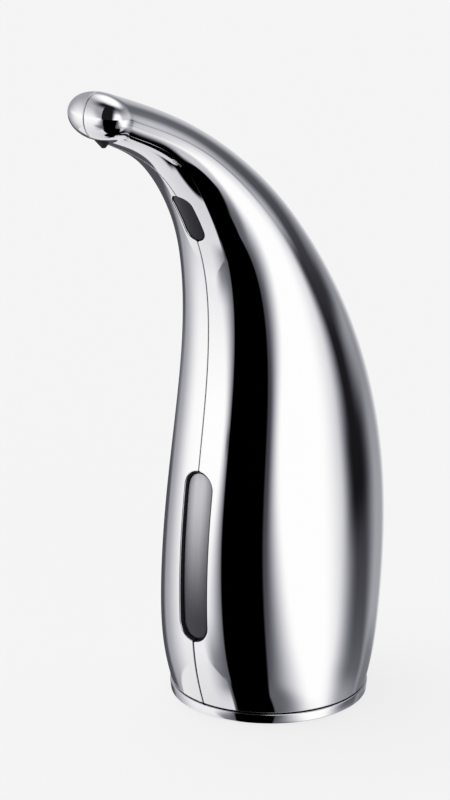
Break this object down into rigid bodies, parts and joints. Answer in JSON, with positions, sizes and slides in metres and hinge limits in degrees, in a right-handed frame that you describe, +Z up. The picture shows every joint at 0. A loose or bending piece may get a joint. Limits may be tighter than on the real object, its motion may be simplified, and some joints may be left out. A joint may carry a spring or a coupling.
{
  "type": "automatic soap dispenser",
  "caption": "Touch-free soap dispenser: a horn-shaped chrome body with a sight window, a sensor window and a drip nozzle, holding a tank, a geared pump and batteries.",
  "frame": {"origin": "on the counter, under the centre of the round base", "axes": "+Z up; the nose and the windows point toward -Y; +X is the side of the right shell"},
  "size_m": [0.07, 0.1289, 0.2179],
  "materials": {
    "chrome_shell": "polished chrome plate on moulded plastic",
    "chrome_ring": "polished chrome plate on moulded plastic",
    "smoked_window": "smoked clear acrylic, polished",
    "dark_lens": "infrared-pass acrylic, polished",
    "black_rubber": "matte silicone rubber",
    "grey_rubber": "matte silicone rubber",
    "black_plastic": "fine-grained moulded ABS",
    "white_plastic": "smooth moulded acetal",
    "clear_plastic": "translucent polypropylene",
    "circuit_board": "green solder mask",
    "nylon": "natural nylon",
    "steel": "plain steel",
    "clear_hose": "clear soft vinyl",
    "blue_sleeve": "printed metal sleeve",
    "white_lens": "clear moulded epoxy"
  },
  "bodies": {
    "housing": {"left_shell": "chrome_shell", "right_shell": "chrome_shell", "base_ring": "chrome_ring", "sight_window": "smoked_window", "sensor_window": "dark_lens", "nozzle": "black_rubber", "nozzle_elbow": "white_plastic", "base_plate": "black_plastic", "foot_pad": "grey_rubber", "power_switch": "black_plastic", "switch_board": "circuit_board", "soap_tank": "clear_plastic", "tank_gasket": "grey_rubber", "tank_lid": "white_plastic", "battery_holder": "black_plastic", "gear_frame": "white_plastic", "pump_body": "white_plastic", "pump_cover": "white_plastic", "idler_pin": "steel", "motor": "steel", "suction_hose": "clear_hose", "delivery_hose": "clear_hose", "control_board": "circuit_board", "control_chip": "black_plastic", "capacitor": "blue_sleeve", "motor_connector": "white_plastic", "sensor_connector": "white_plastic", "sensor_housing": "black_plastic", "sensor_board": "circuit_board", "ir_emitter": "dark_lens", "ir_receiver": "dark_lens", "indicator_led": "white_lens", "sensor_cable": "grey_rubber", "top_contact_left": "steel", "top_contact_middle": "steel", "top_contact_right": "steel", "base_screw_1": "steel", "battery_1": "blue_sleeve", "base_screw_2": "steel", "battery_2": "blue_sleeve", "contact_spring_2": "steel", "base_screw_3": "steel", "battery_3": "blue_sleeve", "base_screw_4": "steel", "battery_4": "blue_sleeve", "contact_spring_4": "steel"},
    "door": {"battery_door": "black_plastic", "door_contact_left": "steel", "door_contact_right": "steel", "contact_spring_1": "steel", "contact_spring_3": "steel"},
    "plug": {"fill_plug": "grey_rubber", "plug_seal": "black_rubber"},
    "button": {"power_button": "grey_rubber"},
    "motor_rotor": {"motor_shaft": "steel", "motor_pinion": "steel"},
    "pump_drive": {"drive_shaft": "steel", "reduction_gear": "nylon", "pump_drive_gear": "nylon"},
    "pump_idler": {"pump_idler_gear": "nylon"}
  },
  "joints": [
    {"name": "door_slide", "type": "slide", "parent": "housing", "child": "door", "axis": [0, 0, -1], "range_m": [0, 0.03]},
    {"name": "plug_slide", "type": "slide", "parent": "housing", "child": "plug", "axis": [0, 0, -1], "range_m": [0, 0.02]},
    {"name": "button_press", "type": "slide", "parent": "housing", "child": "button", "axis": [0, 0, 1], "range_m": [0, 0.0008], "stiffness_N_per_m": 1500, "springref_m": -0.0005},
    {"name": "pump_spin", "type": "hinge", "parent": "housing", "child": "pump_drive", "pos_m": [-0.002, 0.018, 0.07], "axis": [0, 0, 1], "continuous": true},
    {"name": "motor_spin", "type": "hinge", "parent": "housing", "child": "motor_rotor", "pos_m": [0.01, 0.018, 0.07], "axis": [0, 0, 1], "continuous": true},
    {"name": "idler_spin", "type": "hinge", "parent": "housing", "child": "pump_idler", "pos_m": [-0.002, 0.027, 0.06], "axis": [0, 0, 1], "continuous": true}
  ],
  "couplings": [
    {"joint": "motor_spin", "follows": "pump_spin", "ratio": -3},
    {"joint": "idler_spin", "follows": "pump_spin", "ratio": -1}
  ]
}
